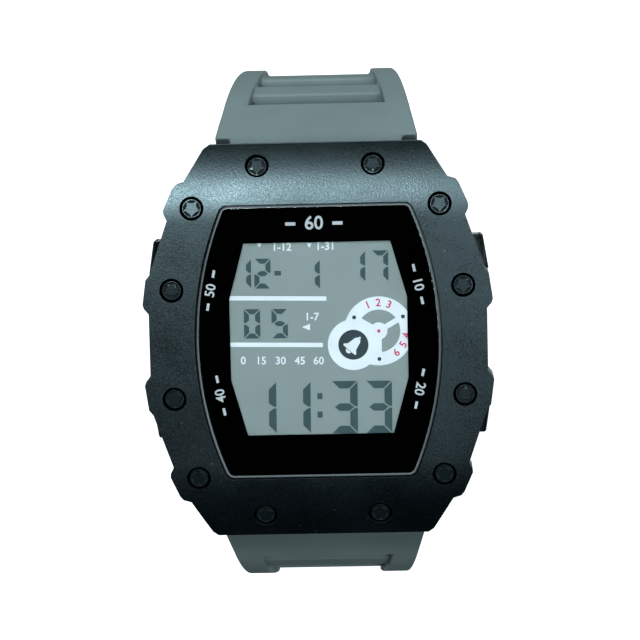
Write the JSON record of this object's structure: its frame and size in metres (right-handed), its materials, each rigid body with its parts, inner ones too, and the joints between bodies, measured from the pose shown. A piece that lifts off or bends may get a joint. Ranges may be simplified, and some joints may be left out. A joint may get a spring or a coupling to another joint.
{
  "type": "digital watch",
  "caption": "Digital wristwatch with a barrel-shaped case, a screwed scalloped bezel, side pushers and a vented rubber strap, unfastened.",
  "frame": {"origin": "centre of the case back's outer face", "axes": "+Z out of the dial, +Y towards 12 o'clock, +X towards 3 o'clock"},
  "size_m": [0.0448, 0.0684, 0.0689],
  "materials": {
    "bezel_resin": "satin, fine grain",
    "case_resin": "satin",
    "dark_screw": "gloss black",
    "steel": "brushed",
    "buckle_steel": "satin black",
    "strap_rubber": "matt",
    "button_gloss": "gloss",
    "lens_clear": "polished",
    "mask_ink": "gloss",
    "display_face": "satin grey green",
    "display_glass": "polished",
    "display_film": "satin",
    "light_guide": "satin",
    "frame_plastic": "matt",
    "board": "satin",
    "chip_resin": "matt",
    "crystal_can": "bright",
    "capacitor_body": "matt",
    "contact_brass": "bright",
    "seal_rubber": "matt",
    "spring_steel": "bright"
  },
  "bodies": {
    "watch": {"bezel": "bezel_resin", "case_body": "case_resin", "bezel_screws": "dark_screw", "case_back": "steel", "back_screws": "steel", "strap_pin_upper": "steel", "strap_pin_lower": "steel", "module_screws": "steel", "lens": "lens_clear", "lens_mask": "mask_ink", "display_overlay": "display_face", "upper_glass": "display_glass", "lower_glass": "display_glass", "front_polariser": "display_film", "rear_polariser": "display_film", "light_panel": "light_guide", "light_lamp": "light_guide", "module_frame": "frame_plastic", "circuit_board": "board", "chip": "chip_resin", "quartz_crystal": "crystal_can", "battery": "crystal_can", "battery_clip": "crystal_can", "capacitors": "capacitor_body", "battery_contact": "contact_brass", "piezo_buzzer": "contact_brass", "switch_contacts": "contact_brass", "back_gasket": "seal_rubber", "lens_gasket": "seal_rubber", "contact_strips": "seal_rubber", "piezo_spring": "spring_steel"},
    "pusher_upper_left": {"pusher_upper_left": "button_gloss", "seal_ring_upper_left": "seal_rubber", "stem_clip_upper_left": "spring_steel", "return_spring_upper_left": "spring_steel"},
    "pusher_upper_right": {"pusher_upper_right": "button_gloss", "seal_ring_upper_right": "seal_rubber", "stem_clip_upper_right": "spring_steel", "return_spring_upper_right": "spring_steel"},
    "pusher_lower_left": {"pusher_lower_left": "button_gloss", "seal_ring_lower_left": "seal_rubber", "stem_clip_lower_left": "spring_steel", "return_spring_lower_left": "spring_steel"},
    "pusher_lower_right": {"pusher_lower_right": "button_gloss", "seal_ring_lower_right": "seal_rubber", "stem_clip_lower_right": "spring_steel", "return_spring_lower_right": "spring_steel"},
    "upper_strap": {"strap_upper": "strap_rubber", "fixed_keeper": "strap_rubber"},
    "loose_keeper": {"loose_keeper": "strap_rubber"},
    "buckle": {"buckle_frame": "buckle_steel", "buckle_pin": "buckle_steel"},
    "tongue": {"buckle_tongue": "buckle_steel"},
    "lower_strap": {"strap_lower": "strap_rubber"}
  },
  "joints": [
    {"name": "press_upper_left", "type": "slide", "parent": "watch", "child": "pusher_upper_left", "axis": [1, 0, 0], "range_m": [0, 0.0008], "stiffness_N_per_m": 300, "springref_m": -0.002, "deforming": ["return_spring_upper_left"]},
    {"name": "press_upper_right", "type": "slide", "parent": "watch", "child": "pusher_upper_right", "axis": [-1, 0, 0], "range_m": [0, 0.0008], "stiffness_N_per_m": 300, "springref_m": -0.002, "deforming": ["return_spring_upper_right"]},
    {"name": "press_lower_left", "type": "slide", "parent": "watch", "child": "pusher_lower_left", "axis": [1, 0, 0], "range_m": [0, 0.0008], "stiffness_N_per_m": 300, "springref_m": -0.002, "deforming": ["return_spring_lower_left"]},
    {"name": "press_lower_right", "type": "slide", "parent": "watch", "child": "pusher_lower_right", "axis": [-1, 0, 0], "range_m": [0, 0.0008], "stiffness_N_per_m": 300, "springref_m": -0.002, "deforming": ["return_spring_lower_right"]},
    {"name": "upper_strap_hinge", "type": "hinge", "parent": "watch", "child": "upper_strap", "pos_m": [0, 0.0222, 0.0044], "axis": [1, 0, 0], "range_deg": [-8, 36]},
    {"name": "lower_strap_hinge", "type": "hinge", "parent": "watch", "child": "lower_strap", "pos_m": [0, -0.0222, 0.0044], "axis": [-1, 0, 0], "range_deg": [0, 36]},
    {"name": "loose_keeper_slide", "type": "slide", "parent": "upper_strap", "child": "loose_keeper", "axis": [0, 0.9397, 0.342], "range_m": [-0.0012, 0.0035]},
    {"name": "buckle_hinge", "type": "hinge", "parent": "upper_strap", "child": "buckle", "pos_m": [0, 0.00252, -0.03636], "axis": [1, 0, 0], "range_deg": [-60, 20]},
    {"name": "tongue_hinge", "type": "hinge", "parent": "buckle", "child": "tongue", "pos_m": [0, 0.00252, -0.03636], "axis": [1, 0, 0], "range_deg": [0, 70]}
  ]
}
